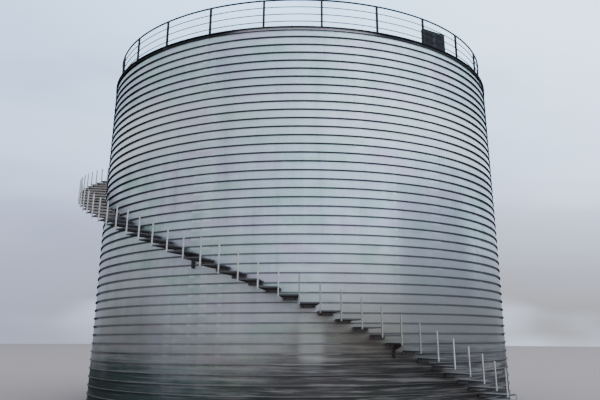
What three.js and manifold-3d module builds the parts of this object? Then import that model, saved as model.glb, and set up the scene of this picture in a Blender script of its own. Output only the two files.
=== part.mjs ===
// Steel silo with a spiral-seam wall, a low cone roof with a guard rail, and an outside stair that
// climbs round the wall. Millimetres, +Z up. The origin is on the silo's axis at ground level.
// An azimuth is in degrees: 0 is the front, along -Y, and 90 is the right side, along +X.
import * as THREE from 'three';
import { mergeVertices } from 'three/addons/utils/BufferGeometryUtils.js';
import Module from 'manifold-3d';

const wasm = await Module();
wasm.setup();

// Driving sizes
const touchGap = 0.3;
const wallRadius = 10220;
const wallSheet = 4;
const eavesHeight = 15567;
const roofSlope = 8;
const facetCount = 96;
const wallSegments = 12;
const edgeSegments = 4;
const roofSegments = 6;
const farAbove = 2 * eavesHeight;

// Spiral strip: its seams climb by one pitch in a turn, and one in seamStep stands out of the solid wall
const seamPitch = 365;
const seamStart = 15120;
const seamFirst = 1;
const seamStep = 3;
const seamDepth = 50;
const seamBelow = 46;
const seamTip = 16;
const seamAbove = 6;

// Floor and foot of the wall
const floorThickness = 10;
const footFlange = 120;
const footHeight = 100;
const footThickness = 10;

// Roof edge and roof sheets
const roofSheet = 6;
const eavesDepth = 165;
const eavesLip = 70;
const eavesThickness = 8;
const eavesRadius = wallRadius + eavesLip;
const roofLip = 100;
const roofHoleRadius = 600;
const roofSeamPitch = 15;
const roofSeamWidth = 30;
const roofSeamHeight = 50;
const roofSeamInner = 850;
const roofSeamOuter = 9850;
const capRadius = 760;
const capThickness = 8;

// Guard rail round the roof
const railingRadius = 10060;
const railingBayAngle = 14.4;
const railingBays = 24;
const railingStart = -153.2;
const railingNodeBays = 2;
const railingPostSize = 64;
const railSpacing = 345;
const railCount = 4;
const topRailSize = 56;
const midRailSize = 32;
const railFacetsPerTurn = 75;

// Stair
const stepCount = 57;
const stepRise = eavesHeight / stepCount;
const stepAngle = 3.7;
const stairFoot = 55.5;
const flightSteps = 7;
const treadInnerRadius = eavesRadius + 10;
const treadOuterRadius = 11530;
const treadThickness = 50;
const apronDepth = 160;
const apronThickness = 20;
const apronMargin = 0.25;
const lugWidth = 400;
const lugDrop = 60;
const lugHeight = 50;
const stairPostRadius = 11549;
const stairPostSize = 50;
const stairPostHeight = 980;
const stairPostFoot = 90;
const shortPosts = 2;
const shortPostInset = 10;
const kneeFirst = 10;
const kneeEvery = 12;
const kneeDepth = 550;
const kneeStem = 100;
const kneeShoulder = 250;
const kneeReach = 700;
const kneeThickness = 16;
const landingEnd = -163;
const landingArmDepth = eavesDepth - treadThickness + 15;
const landingArmEndDepth = 15;
const landingArmThickness = 12;
const landingArmPitch = stepAngle / 2;

// Cabinet on the roof: its faces look along one azimuth, and it stands aside from that line
const cabinetAzimuth = 31.4;
const cabinetAside = 1454;
const cabinetWidth = 1360;
const cabinetDepth = 200;
const cabinetBottom = 15740;
const cabinetTop = 16700;
const cabinetRadius = 9640;
const cabinetLegSize = 60;
const cabinetLegLap = 1;

const paints = {
  wall: { color: 0xaeb8be, metalness: 0.8, roughness: 0.45 },
  roof: { color: 0xa8b1b6, metalness: 0.8, roughness: 0.5 },
  edge: { color: 0x4b4f55, metalness: 0.4, roughness: 0.6 },
  stair: { color: 0x8d9397, metalness: 0.7, roughness: 0.55 },
  cabinet: { color: 0x3e4148, metalness: 0.3, roughness: 0.6 },
};

const materials = {};
for (const [name, settings] of Object.entries(paints)) {
  materials[name] = new THREE.MeshStandardMaterial(settings);
}

const silo = new THREE.Group();

const radians = THREE.MathUtils.degToRad;

// Point in plan at a radius and an azimuth
function at(radius, azimuth) {
  return new THREE.Vector2(radius * Math.sin(radians(azimuth)), -radius * Math.cos(radians(azimuth)));
}

// Height of the roof sheet's upper face: a flat lip at the edge, then a cone
function roofTop(radius) {
  const coneStart = eavesRadius - roofLip;
  return eavesHeight + Math.max(0, coneStart - radius) * Math.tan(radians(roofSlope));
}

// A closed three.js geometry as a solid that can be joined and cut
function solidFrom(geometry) {
  const bare = geometry.index ? geometry.clone() : geometry;
  bare.deleteAttribute('normal');
  bare.deleteAttribute('uv');
  const merged = mergeVertices(bare);
  return new wasm.Manifold(new wasm.Mesh({
    numProp: 3,
    vertProperties: new Float32Array(merged.attributes.position.array),
    triVerts: new Uint32Array(merged.index.array),
  }));
}

function addMesh(name, solid, material) {
  const { vertProperties, triVerts, numProp } = solid.getMesh();
  const interleaved = new THREE.InterleavedBuffer(vertProperties, numProp);
  const geometry = new THREE.BufferGeometry();
  geometry.setAttribute('position', new THREE.InterleavedBufferAttribute(interleaved, 3, 0));
  geometry.setIndex(new THREE.BufferAttribute(triVerts, 1));
  const mesh = new THREE.Mesh(geometry, material);
  mesh.name = name;
  silo.add(mesh);
}

function join(solids) {
  return solids.reduce((whole, solid) => whole.add(solid));
}

// Ring turned about the axis from a closed profile of [radius, height] corners, outer side upwards
function ring(profile, facets = facetCount, turn = 0) {
  const corners = [...profile, profile[0]].map(([radius, height]) => new THREE.Vector2(radius, height));
  const geometry = new THREE.LatheGeometry(corners, facets);
  geometry.rotateX(Math.PI / 2);
  const solid = solidFrom(geometry);
  return turn ? solid.rotate([0, 0, turn]) : solid;
}

// Disc or cone about the axis: the profile starts and ends on the axis
function disc(profile) {
  const corners = profile.map(([radius, height]) => new THREE.Vector2(radius, height));
  const geometry = new THREE.LatheGeometry(corners, facetCount);
  geometry.rotateX(Math.PI / 2);
  return solidFrom(geometry);
}

// Plate with a plan outline, from one height to another
function plate(outline, bottom, top) {
  const geometry = new THREE.ExtrudeGeometry(new THREE.Shape(outline), {
    depth: top - bottom,
    bevelEnabled: false,
  });
  geometry.translate(0, 0, bottom);
  return solidFrom(geometry);
}

// Upright plate in a plane through the axis, from an outline of [radius, height] corners
function fin(outline, thickness, azimuth) {
  const corners = outline.map(([radius, height]) => new THREE.Vector2(radius, height));
  const geometry = new THREE.ExtrudeGeometry(new THREE.Shape(corners), {
    depth: thickness,
    bevelEnabled: false,
  });
  geometry.translate(0, 0, -thickness / 2);
  geometry.rotateX(Math.PI / 2);
  geometry.rotateZ(radians(azimuth - 90));
  return solidFrom(geometry);
}

// Upright square bar, or any box, that faces the axis
function bar(radial, across, bottom, top, radius, azimuth, sideways = 0) {
  const geometry = new THREE.BoxGeometry(across, radial, top - bottom);
  geometry.translate(sideways, -radius, (bottom + top) / 2);
  geometry.rotateZ(radians(azimuth));
  return solidFrom(geometry);
}

// Wedge of space between two azimuths, with half a gap left on each side
function wedge(from, to) {
  const half = radians((to - from) / 2);
  const reach = 2 * wallRadius / Math.cos(half);
  const apex = at(touchGap / 2 / Math.sin(half), (from + to) / 2);
  const corners = [apex, at(reach, from).add(apex), at(reach, to).add(apex)];
  return plate(corners, -footHeight, farAbove);
}

function addSectors(name, whole, count, material) {
  for (let i = 0; i < count; i += 1) {
    const step = 360 / count;
    addMesh(`${name}_${i + 1}`, whole.intersect(wedge(i * step, (i + 1) * step)), material);
  }
}

// Rectangle profile of a ring
function band(inner, outer, bottom, top) {
  return [[inner, bottom], [outer, bottom], [outer, top], [inner, top]];
}

// Floor, wall and foot

const wallTop = eavesHeight - roofSheet - touchGap;
const wallInner = wallRadius - wallSheet;
const floorRadius = wallInner - touchGap;

addMesh('floor_plate', disc([[0, 0], [floorRadius, 0], [floorRadius, floorThickness], [0, floorThickness]]),
  materials.wall);

const wallFace = wallRadius + touchGap;

// Section of the wall as [radius, height] corners, with its seams at the heights that they have at the front
function wallSection(inner, grow = 0) {
  const corners = [[inner, 0], [wallRadius, 0]];
  const heights = [];
  for (let seam = seamStart - seamFirst * seamPitch; seam > seamPitch; seam -= seamStep * seamPitch) {
    heights.unshift(seam);
  }
  for (const height of heights) {
    corners.push([wallRadius, height - seamBelow - grow], [wallRadius + seamDepth + grow, height - seamTip],
      [wallRadius, height + seamAbove + grow]);
  }
  corners.push([wallRadius, wallTop], [inner, wallTop]);
  return corners.map(([radius, height]) => new THREE.Vector2(radius, height));
}

// Section swept from one azimuth to another in flat stretches, with the seams climbing on the way
function wallLength(section, from, to) {
  const geometry = new THREE.ExtrudeGeometry(new THREE.Shape(section), {
    depth: 1,
    steps: facetCount / wallSegments,
    bevelEnabled: false,
  });
  const places = geometry.attributes.position;
  for (let i = 0; i < places.count; i += 1) {
    const height = places.getY(i);
    const azimuth = to - (to - from) * places.getZ(i);
    const isOnSeam = height > 0 && height < seamStart;
    const climb = isOnSeam ? seamPitch * azimuth / 360 : 0;
    const plan = at(places.getX(i), azimuth);
    places.setXYZ(i, plan.x, plan.y, height + climb);
  }
  return solidFrom(geometry);
}

// Azimuths run from -180 to 180, so that the seams that are left out make their jump at the back
const wallLengths = Array.from({ length: wallSegments }, (_, i) => {
  const from = i * 360 / wallSegments;
  return from < 180 ? from : from - 360;
}).map((from) => [from, from + 360 / wallSegments]);

const halfGapAngle = THREE.MathUtils.radToDeg(touchGap / 2 / wallInner);

wallLengths.forEach(([from, to], i) => {
  const length = wallLength(wallSection(wallInner), from + halfGapAngle, to - halfGapAngle);
  addMesh(`wall_${i + 1}`, length, materials.wall);
});

const footOuter = wallRadius + footFlange;
const footWeb = wallFace + footThickness;
addSectors('foot_angle', ring([
  [wallFace, 0], [footOuter, 0], [footOuter, footThickness],
  [footWeb, footThickness], [footWeb, footHeight], [wallFace, footHeight],
]), edgeSegments, materials.edge);

// Edge channel and roof

const eavesBottom = eavesHeight - eavesDepth;
const eavesWeb = wallFace + eavesThickness;
addSectors('eaves_channel', ring([
  [wallFace, eavesBottom], [eavesRadius, eavesBottom], [eavesRadius, eavesBottom + eavesThickness],
  [eavesWeb, eavesBottom + eavesThickness], [eavesWeb, wallTop - eavesThickness],
  [eavesRadius, wallTop - eavesThickness], [eavesRadius, wallTop], [wallFace, wallTop],
]), edgeSegments, materials.edge);

function roofSheets() {
  const upper = [eavesRadius, eavesRadius - roofLip, roofHoleRadius]
    .map((radius) => [radius, roofTop(radius)]);
  const lower = upper.map(([radius, height]) => [radius, height - roofSheet]).reverse();
  return ring([...upper, ...lower]);
}

// Raised seam along the slope, let into the sheet by half the sheet's thickness
function roofSeam(azimuth) {
  const sunk = roofSheet / 2;
  return fin([
    [roofSeamInner, roofTop(roofSeamInner) - sunk], [roofSeamOuter, roofTop(roofSeamOuter) - sunk],
    [roofSeamOuter, roofTop(roofSeamOuter) + roofSeamHeight],
    [roofSeamInner, roofTop(roofSeamInner) + roofSeamHeight],
  ], roofSeamWidth, azimuth);
}

const roofParts = [roofSheets()];
for (let azimuth = roofSeamPitch / 2; azimuth < 360; azimuth += roofSeamPitch) {
  roofParts.push(roofSeam(azimuth));
}
addSectors('roof', join(roofParts), roofSegments, materials.roof);

const capBase = (radius) => roofTop(radius) + touchGap;
addMesh('roof_cap', disc([
  [0, capBase(0)], [capRadius, capBase(capRadius)],
  [capRadius, capBase(capRadius) + capThickness], [0, capBase(0) + capThickness],
]), materials.roof);

// Space that pieces standing on the roof are cut back from
const roofBody = disc([
  [0, eavesBottom], [eavesRadius, eavesBottom], [eavesRadius, eavesHeight + touchGap],
  [eavesRadius - roofLip, eavesHeight + touchGap], [0, roofTop(0) + touchGap],
]);

// Guard rail: posts on the roof edge, with a top rail and three thinner ones

function railRing(size, height) {
  const half = size / 2;
  const profile = band(railingRadius - half, railingRadius + half, height - half, height + half);
  return ring(profile, railFacetsPerTurn, railingStart);
}

const railRings = [];
for (let rail = 1; rail <= railCount; rail += 1) {
  const size = rail === railCount ? topRailSize : midRailSize;
  railRings.push(railRing(size, eavesHeight + rail * railSpacing));
}

function railingPost(azimuth) {
  const top = eavesHeight + railCount * railSpacing;
  return bar(railingPostSize, railingPostSize, eavesBottom, top, railingRadius, azimuth).subtract(roofBody);
}

const railClearance = THREE.MathUtils.radToDeg((railingPostSize / 2 + touchGap) / railingRadius);

for (let bay = 0; bay < railingBays; bay += railingNodeBays) {
  const isLast = bay + railingNodeBays === railingBays;
  const from = railingStart + bay * railingBayAngle;
  const to = from + railingNodeBays * railingBayAngle;
  const space = wedge(from, isLast ? to : to - railClearance);
  const parts = railRings.map((rail) => rail.intersect(space));
  const posts = railingNodeBays + (isLast ? 1 : 0);
  for (let post = 0; post < posts; post += 1) {
    parts.push(railingPost(from + post * railingBayAngle));
  }
  addMesh(`railing_${bay / railingNodeBays + 1}`, join(parts), materials.edge);
}

// Stair: treads held off the wall by lugs, each tied to the next by the post at its upper end

const wallCore = disc([[0, -footHeight], [wallFace, -footHeight], [wallFace, farAbove], [0, farAbove]]);
const seamedSection = wallSection(wallInner - seamDepth, 2 * touchGap);
const wallBody = join([wallCore, ...wallLengths.map(([from, to]) => wallLength(seamedSection, from, to))]);
const eavesFace = eavesRadius + touchGap;
const eavesBody = disc([
  [0, eavesBottom - touchGap], [eavesFace, eavesBottom - touchGap], [eavesFace, farAbove], [0, farAbove],
]);

const stepAzimuth = (step) => stairFoot - step * stepAngle;
const stepTop = (step) => step * stepRise;

// Plan outline of a tread between two azimuths, with its curved edges in straight stretches
function treadOutline(from, to, innerRadius = treadInnerRadius, outerRadius = treadOuterRadius) {
  const stretches = Math.ceil((to - from) / stepAngle);
  const places = Array.from({ length: stretches + 1 }, (_, i) => from + (to - from) * i / stretches);
  const inner = places.map((azimuth) => at(innerRadius, azimuth));
  const outer = places.map((azimuth) => at(outerRadius, azimuth)).reverse();
  return [...inner, ...outer];
}

// Apron under a tread's inner edge: an upright plate just outside the wall's seams
function apron(from, to, top) {
  const inner = treadInnerRadius - apronThickness;
  const outline = treadOutline(from + apronMargin, to - apronMargin, inner, treadInnerRadius + touchGap);
  return plate(outline, top - apronDepth, top - treadThickness / 2);
}

// Lug that holds a tread off the wall, from the wall to the middle of the apron's thickness
function treadLug(azimuth, top) {
  const inner = wallRadius - wallSheet;
  const outer = treadInnerRadius - apronThickness / 2;
  const lugTop = top - lugDrop;
  return bar(outer - inner, lugWidth, lugTop - lugHeight, lugTop, (inner + outer) / 2, azimuth);
}

// Post at a tread's upper end. The lowest posts only reach the next tread
function stairPost(step, azimuth = stepAzimuth(step), grow = 0) {
  const size = stairPostSize + 2 * grow;
  const foot = stepTop(step) - stairPostFoot;
  const head = step > shortPosts ? stepTop(step) + stairPostHeight : stepTop(step + 1) - shortPostInset;
  return bar(size, size, foot - grow, head + grow, stairPostRadius, azimuth);
}

// Knee bracket under a tread: a stem against the wall that widens to a shoulder under the tread
function knee(azimuth, top) {
  const inner = wallRadius - wallSheet;
  const under = top - treadThickness / 2;
  return fin([
    [inner, under - kneeDepth], [wallRadius + kneeStem, under - kneeDepth],
    [wallRadius + kneeStem, under - kneeShoulder], [wallRadius + kneeReach, under - treadThickness],
    [wallRadius + kneeReach, under], [inner, under],
  ], kneeThickness, azimuth);
}

function stepParts(step) {
  const lower = stepAzimuth(step - 1);
  const upper = stepAzimuth(step);
  const top = stepTop(step);
  const middle = (upper + lower) / 2;
  const parts = [
    plate(treadOutline(upper, lower), top - treadThickness, top), apron(upper, lower, top),
    treadLug(middle, top), stairPost(step),
  ];
  if (step % kneeEvery === kneeFirst) {
    parts.push(knee(middle, top));
  }
  return parts;
}

for (let first = 1; first < stepCount; first += flightSteps) {
  const parts = [];
  for (let step = first; step < first + flightSteps; step += 1) {
    parts.push(...stepParts(step));
  }
  let flight = join(parts).subtract(wallBody);
  if (first > 1) {
    flight = flight.subtract(stairPost(first - 1, stepAzimuth(first - 1), touchGap));
  }
  addMesh(`stair_flight_${(first - 1) / flightSteps + 1}`, flight, materials.stair);
}

// Arm under the landing, from the edge channel outwards, that grows thinner towards the posts
function landingArm(azimuth, top) {
  const inner = wallRadius - wallSheet;
  const outer = treadOuterRadius - stairPostSize;
  const under = top - treadThickness;
  const lap = under + treadThickness / 2;
  return fin([
    [inner, under - landingArmDepth], [outer, under - landingArmEndDepth], [outer, lap], [inner, lap],
  ], landingArmThickness, azimuth);
}

// Landing level with the roof edge, held at the edge channel's lower lip
function landing() {
  const start = stepAzimuth(stepCount - 1);
  const top = stepTop(stepCount);
  const parts = [plate(treadOutline(landingEnd, start), top - treadThickness, top)];
  for (let azimuth = start - landingArmPitch / 2; azimuth > landingEnd; azimuth -= landingArmPitch) {
    parts.push(landingArm(azimuth, top));
  }
  for (const azimuth of [stepAzimuth(stepCount), stepAzimuth(stepCount + 1), landingEnd]) {
    parts.push(stairPost(stepCount, azimuth));
  }
  const lastPost = stairPost(stepCount - 1, start, touchGap);
  return join(parts).subtract(wallBody).subtract(eavesBody).subtract(lastPost);
}

addMesh('stair_landing', landing(), materials.stair);

// Cabinet on four legs, just inside the guard rail

function cabinet() {
  const parts = [
    bar(cabinetDepth, cabinetWidth, cabinetBottom, cabinetTop, cabinetRadius, cabinetAzimuth, cabinetAside),
  ];
  const legOut = (cabinetDepth - cabinetLegSize) / 2;
  const legAside = (cabinetWidth - cabinetLegSize) / 2;
  for (const radius of [cabinetRadius - legOut, cabinetRadius + legOut]) {
    for (const aside of [-legAside, legAside]) {
      const legTop = cabinetBottom + cabinetLegLap;
      const sideways = cabinetAside + aside;
      parts.push(bar(cabinetLegSize, cabinetLegSize, eavesHeight, legTop, radius, cabinetAzimuth, sideways));
    }
  }
  return join(parts).subtract(roofBody);
}

addMesh('roof_cabinet', cabinet(), materials.cabinet);

export default silo;
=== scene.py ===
"""A steel silo: spiral strip wall, cone roof with a guard rail, and an outside stair of single treads.

Lengths are in metres. An azimuth is in degrees, 0 at the front along -Y and 90 at the right along +X.
Every surface is worked out as an array of points: outlines carried along a path, or a grid of two values.
"""
import math
from types import SimpleNamespace

import bmesh
import bpy
import numpy as np
from mathutils import Matrix, Vector


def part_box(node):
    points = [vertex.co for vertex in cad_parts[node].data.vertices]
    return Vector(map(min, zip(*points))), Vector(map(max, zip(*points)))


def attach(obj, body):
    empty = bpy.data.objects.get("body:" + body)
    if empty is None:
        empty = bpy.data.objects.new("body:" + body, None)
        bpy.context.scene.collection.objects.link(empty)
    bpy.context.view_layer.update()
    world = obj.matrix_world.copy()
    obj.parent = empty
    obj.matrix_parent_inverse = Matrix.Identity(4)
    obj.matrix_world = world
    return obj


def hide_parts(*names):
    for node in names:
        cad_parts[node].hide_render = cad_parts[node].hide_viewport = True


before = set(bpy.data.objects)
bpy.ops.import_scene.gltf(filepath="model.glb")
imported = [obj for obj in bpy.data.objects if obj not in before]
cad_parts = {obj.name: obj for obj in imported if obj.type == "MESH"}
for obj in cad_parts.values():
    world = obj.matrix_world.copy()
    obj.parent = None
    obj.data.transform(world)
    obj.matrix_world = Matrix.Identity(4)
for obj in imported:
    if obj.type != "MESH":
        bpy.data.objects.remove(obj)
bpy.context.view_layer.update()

# Sizes taken from the frame or shared with its solids

EAVES_LOW, EAVES_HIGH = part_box("eaves_channel_1")
EAVES_RADIUS = -EAVES_LOW.y
EAVES_LIP = 0.070
WALL_RADIUS = EAVES_RADIUS - EAVES_LIP
WALL_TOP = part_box("wall_1")[1].z
EAVES_BOTTOM = EAVES_LOW.z
EAVES_TOP = EAVES_HIGH.z
FOOT_LOW, FOOT_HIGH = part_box("foot_angle_1")
FOOT_RADIUS = -FOOT_LOW.y
FOOT_HEIGHT = FOOT_HIGH.z
ROOF_SHEET = 0.006
ROOF_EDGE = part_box("roof_1")[0].z + ROOF_SHEET
FULL_TURN = 2 * math.pi
TOUCH_GAP = 0.0003

# Spiral strip wall

SEAM_PITCH = 0.365
SEAM_START = 15.12
SHEET = 0.004
WALL_COLUMNS = 192
SEAM_DEPTH = 0.050
SEAM_HEIGHT = 0.046
SEAM_SPLAY = 0.006

# Foot, edge channel and roof

FOOT_THICKNESS = 0.010
FOOT_FACE = WALL_RADIUS + TOUCH_GAP
FOOT_WEB = FOOT_FACE + FOOT_THICKNESS
ANCHOR_COUNT = 48
EAVES_THICKNESS = 0.008
EAVES_WEB = WALL_RADIUS + EAVES_THICKNESS
EAVES_MIDDLE = (EAVES_BOTTOM + EAVES_TOP) / 2
SPLICE_COUNT = 16
SPLICE_AZIMUTHS = (np.arange(SPLICE_COUNT) + 0.35) * 360 / SPLICE_COUNT
SPLICE_HALF_ANGLE = 1.1
SPLICE_HEIGHT = 0.100
SPLICE_THICKNESS = 0.008
SPLICE_FACE = EAVES_WEB + 0.001 + SPLICE_THICKNESS
TRIM_COVER = 0.045
TRIM_DROP = 0.040
TRIM_THICKNESS = 0.003
ROOF_SLOPE = math.radians(8)
ROOF_LIP = 0.100
ROOF_HOLE = 0.600
ROOF_SEAM_COUNT = 24
ROOF_SEAM_INNER = 0.850
ROOF_SEAM_OUTER = 9.850
ROOF_SEAM_WIDTH = 0.030
ROOF_SEAM_HEIGHT = 0.050
CAP_RADIUS = 0.760
CAP_THICKNESS = 0.008
CAP_SCREWS = 24
EDGE_SCREWS = 144

# Guard rail

RAILING_RADIUS = 10.060
RAILING_START = -153.2
RAILING_BAY = 14.4
RAILING_BAYS = 24
RAILING_AZIMUTHS = RAILING_START + np.arange(RAILING_BAYS + 1) * RAILING_BAY
RAIL_SPACING = 0.345
MID_RAIL_LEVELS = [ROOF_EDGE + number * RAIL_SPACING for number in (1, 2, 3)]
TOP_RAIL_LEVEL = ROOF_EDGE + 4 * RAIL_SPACING
RAILING_POST = 0.088
TOP_RAIL = 0.080
MID_RAIL = 0.040
BASE_PLATE = 0.130
BASE_THICKNESS = 0.008
BASE_BOLT_ASIDE = 0.048

# Stair

STEP_COUNT = 57
STEP_RISE = ROOF_EDGE / STEP_COUNT
STEP_ANGLE = 3.7
STAIR_FOOT = 55.5
STEPS = np.arange(1, STEP_COUNT)
STEP_AZIMUTHS = STAIR_FOOT - STEPS * STEP_ANGLE
STEP_TOPS = STEPS * STEP_RISE
TREAD_INNER = EAVES_RADIUS + 0.010
TREAD_OUTER = 11.530
TREAD_DEPTH = 0.050
TREAD_PLATE = 0.006
APRON_DEPTH = 0.160
APRON_THICKNESS = 0.024
APRON_MARGIN = 0.25
LUG_PLACES = (0.22, 0.78)
LUG_DROP = 0.085
WALL_PLATE = 0.010
WALL_PLATE_FACE = 0.001 + WALL_PLATE
ARM_END_DEPTH = 0.015
ARM_WIDTH = 0.050
ARM_THICKNESS = 0.006
LANDING_ARM_DEPTH = 0.120
POST_RADIUS = 11.549
POST_SIZE = 0.050
POST_HEIGHT = 0.980
POST_FOOT = 0.090
SHORT_POSTS = 2
KNEE_FIRST = 10
KNEE_EVERY = 12
KNEE_DEPTH = 0.500
KNEE_STEM = 0.100
KNEE_SHOULDER = 0.200
KNEE_REACH = 0.700
KNEE_THICKNESS = 0.016
KNEE_TIP = 0.025
LANDING_END = -163.0

# Cabinet

CABINET_AZIMUTH = 31.4
CABINET_RADIUS = 9.640
CABINET_ASIDE = 1.454
CABINET_WIDTH = 1.360
CABINET_DEPTH = 0.200
CABINET_BOTTOM = 15.740
CABINET_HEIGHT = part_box("roof_cabinet")[1].z - CABINET_BOTTOM
CABINET_SHEET_INSET = 0.030
CABINET_LID = 0.025
CABINET_PLINTH = 0.045
DOOR_GAP = 0.030
DOOR_FRAME = 0.130
DOOR_THICKNESS = 0.014
CABINET_LEG = 0.060

# Studio

FLOOR_RADIUS = 260.0
FLOOR_LEVELS = (-0.03, -0.001)
SKY_STRENGTH = 4.1
KEY_PLACE = (25, -40, 45)
KEY_AIM = (0, 0, 8)
KEY_SIZE = 35
KEY_POWER = 3000

# Photograph: a camera fitted to the seams, the roof edge and both silhouettes

IMAGE_WIDTH = 600
IMAGE_HEIGHT = 400
FOCAL_PIXELS = 639.95
PRINCIPAL = (301.2, 131.0)
SENSOR = 36.0
CAMERA_PLACE = (0.0, -34.912, 2.9)
CAMERA_PITCH = 0.31219
CAMERA_YAW = -0.00178
CAMERA_ROLL = 0.00499


# Shapes: a shape is a pair of points (count, 3) and a list of face groups (count, corners)

def volume(points, groups):
    """Signed volume: a sixth of the triple products of each face's corners, fanned from its first."""
    total = 0.0
    for faces in groups:
        first = points[faces[:, 0]]
        for i in range(1, faces.shape[1] - 1):
            total += np.einsum("ij,ij->", first, np.cross(points[faces[:, i]], points[faces[:, i + 1]]))
    return total / 6


def loft(sections, closed=False):
    """Closed outlines skinned in order: sections[..., station, corner, xyz].

    A quad joins corners i and i + 1 of a station to the same corners of the next one. The two end outlines
    are covered, or joined to each other on a closed path. Leading dimensions are copies, and the faces turn
    outwards by the sign of the first copy's volume.
    """
    stations, corners = sections.shape[-3:-1]
    copies = sections.reshape(-1, stations * corners, 3)
    station = np.arange(stations if closed else stations - 1)[:, None]
    corner = np.arange(corners)[None, :]
    here = station * corners
    onward = (station + 1) % stations * corners
    nearby = (corner + 1) % corners
    quads = np.stack([here + corner, here + nearby, onward + nearby, onward + corner], -1).reshape(-1, 4)
    groups = [quads]
    if not closed:
        groups.append(np.arange(corners)[None, ::-1])
        groups.append(np.arange(corners)[None, :] + (stations - 1) * corners)
    if volume(copies[0] - copies[0].mean(0), groups) < 0:
        groups = [faces[:, ::-1] for faces in groups]
    offsets = np.arange(len(copies)) * stations * corners
    spread = [(faces[None] + offsets[:, None, None]).reshape(-1, faces.shape[1]) for faces in groups]
    return copies.reshape(-1, 3), spread


def together(*shapes):
    """Several shapes as one, with each face's numbers moved past the points before it."""
    points = np.concatenate([shape[0] for shape in shapes])
    starts = np.cumsum([0] + [len(shape[0]) for shape in shapes])
    groups = [faces + start for shape, start in zip(shapes, starts) for faces in shape[1]]
    return points, groups


def polar(azimuth, radius, height):
    """Points at (radius sin azimuth, -radius cos azimuth, height), with azimuths in degrees."""
    turn = np.radians(azimuth)
    return np.stack(np.broadcast_arrays(radius * np.sin(turn), -radius * np.cos(turn), height), -1)


def set_round(local, azimuth, radius, height):
    """A local solid skinned over its outlines (across, out, up), with one copy for each azimuth.

    Across runs along the tangent, out along the radius and up along the axis.
    """
    turn = np.radians(np.reshape(azimuth, (-1, 1, 1)))
    reach = radius + local[..., 1]
    lift = np.reshape(height, (-1, 1, 1)) + local[..., 2]
    x = reach * np.sin(turn) + local[..., 0] * np.cos(turn)
    y = -reach * np.cos(turn) + local[..., 0] * np.sin(turn)
    return loft(np.stack(np.broadcast_arrays(x, y, lift), -1))


def outline_along(outline, path, axis):
    """A flat outline, or one for each place, set at places along one local axis: 0 across, 1 out, 2 up."""
    flat = np.broadcast_to(outline, (len(path), *np.shape(outline)[-2:]))
    run = np.broadcast_to(np.reshape(path, (-1, 1, 1)), (*flat.shape[:2], 1))
    return np.concatenate([flat[..., :axis], run, flat[..., axis:]], -1)


def rectangle(width, height, middle=(0, 0)):
    """Four corners about a middle."""
    return np.array([(-1, -1), (1, -1), (1, 1), (-1, 1)]) * (width / 2, height / 2) + middle


def circle(radius, count, middle=(0, 0)):
    """Corners at (radius cos t, radius sin t) for equal steps of t."""
    turn = np.arange(count) * FULL_TURN / count
    return radius * np.stack([np.cos(turn), np.sin(turn)], -1) + middle


def rounded_square(size, corner_radius, steps=3):
    """A square whose corners are quarter circles."""
    side = np.arange(4)[:, None] * math.pi / 2
    turn = side + np.linspace(0, math.pi / 2, steps + 1)
    diagonal = (size / 2 - corner_radius) * math.sqrt(2)
    x = diagonal * np.cos(side + math.pi / 4) + corner_radius * np.cos(turn)
    y = diagonal * np.sin(side + math.pi / 4) + corner_radius * np.sin(turn)
    return np.stack([x, y], -1).reshape(-1, 2)


def box(width, depth, height, middle=(0, 0, 0)):
    """A box in local axes as an outline along up."""
    across, out, up = middle
    return outline_along(rectangle(width, depth, (across, out)), (up - height / 2, up + height / 2), 2)


def bolt(size, axis):
    """A washer and a hexagon head along a local axis.

    The washer is a circle. The head's radius at angle t is that of a hexagon, flat / cos(t - nearest flat),
    and its last outline is drawn in as a chamfer.
    """
    turn = np.arange(12) * FULL_TURN / 12
    hexagon = 0.75 / np.cos((turn + math.pi / 6) % (math.pi / 3) - math.pi / 6)
    washer = np.full(12, 1.05)
    radii = np.stack([washer, washer, hexagon, hexagon, 0.86 * hexagon]) * size
    steps = np.array([0, 0.16, 0.16, 0.70, 0.80]) * size
    return outline_along(np.stack([radii * np.cos(turn), radii * np.sin(turn)], -1), steps, axis)


def ring(profile, columns=384):
    """A closed profile of (radius, height) corners turned about the axis."""
    azimuth = np.arange(columns)[:, None] * 360 / columns
    return loft(polar(azimuth, *np.transpose(profile)), closed=True)


def roof_top(radius):
    """Height of the roof sheet: level over the lip, then up the cone's slope towards the axis."""
    return ROOF_EDGE + np.maximum(0, EAVES_RADIUS - ROOF_LIP - radius) * math.tan(ROOF_SLOPE)


# Pieces

def mesh_from(name, shape):
    """A mesh with the shape's points and faces, written as whole arrays."""
    points, groups = shape
    corners = np.concatenate([faces.ravel() for faces in groups]).astype(np.int32)
    totals = np.concatenate([np.full(len(faces), faces.shape[1]) for faces in groups]).astype(np.int32)
    starts = np.cumsum(totals) - totals
    mesh = bpy.data.meshes.new(name)
    mesh.vertices.add(len(points))
    mesh.vertices.foreach_set("co", np.ascontiguousarray(points, np.float32).ravel())
    mesh.loops.add(len(corners))
    mesh.loops.foreach_set("vertex_index", corners)
    mesh.polygons.add(len(totals))
    mesh.polygons.foreach_set("loop_start", starts.astype(np.int32))
    mesh.polygons.foreach_set("loop_total", totals)
    mesh.update(calc_edges=True)
    return mesh


def in_scene(name, data):
    """A new object that shows the data, linked to the scene."""
    thing = bpy.data.objects.new(name, data)
    bpy.context.scene.collection.objects.link(thing)
    return thing


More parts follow.
